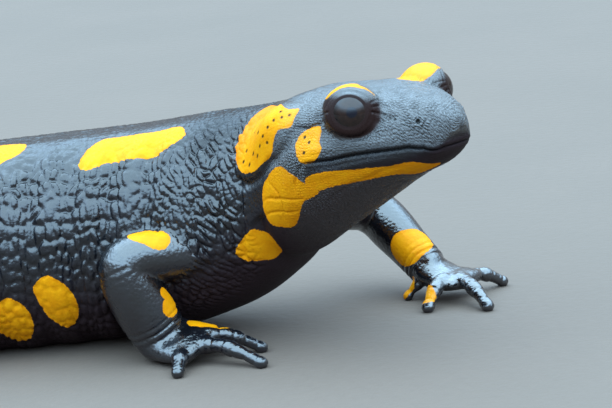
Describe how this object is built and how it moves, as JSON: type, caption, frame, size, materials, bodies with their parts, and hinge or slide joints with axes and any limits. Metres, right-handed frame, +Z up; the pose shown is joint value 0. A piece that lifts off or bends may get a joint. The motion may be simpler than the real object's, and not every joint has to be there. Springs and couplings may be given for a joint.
{
  "type": "fire salamander",
  "caption": "Life-size fire salamander at rest, belly and tail on the floor, head and chest raised on spread forelegs, black with yellow spots.",
  "frame": {"origin": "middle of the animal's box at floor level", "axes": "+X from the tail towards the head, +Y towards the animal's left, +Z up"},
  "size_m": [0.1736, 0.0526, 0.0263],
  "materials": {
    "skin": "wet black skin with yellow patches, glossy, finely granular on the head",
    "eye": "polished, very dark brown"
  },
  "bodies": {
    "root": {"head": "skin", "lower_jaw": "skin", "eye_left": "eye", "eye_right": "eye", "neck": "skin", "torso_front": "skin", "torso_rear": "skin", "tail_base": "skin", "tail_middle": "skin", "tail_tip": "skin", "upper_arm_left": "skin", "forearm_left": "skin", "hand_left": "skin", "upper_arm_right": "skin", "forearm_right": "skin", "hand_right": "skin", "thigh_left": "skin", "shank_left": "skin", "foot_left": "skin", "thigh_right": "skin", "shank_right": "skin", "foot_right": "skin"}
  },
  "joints": []
}
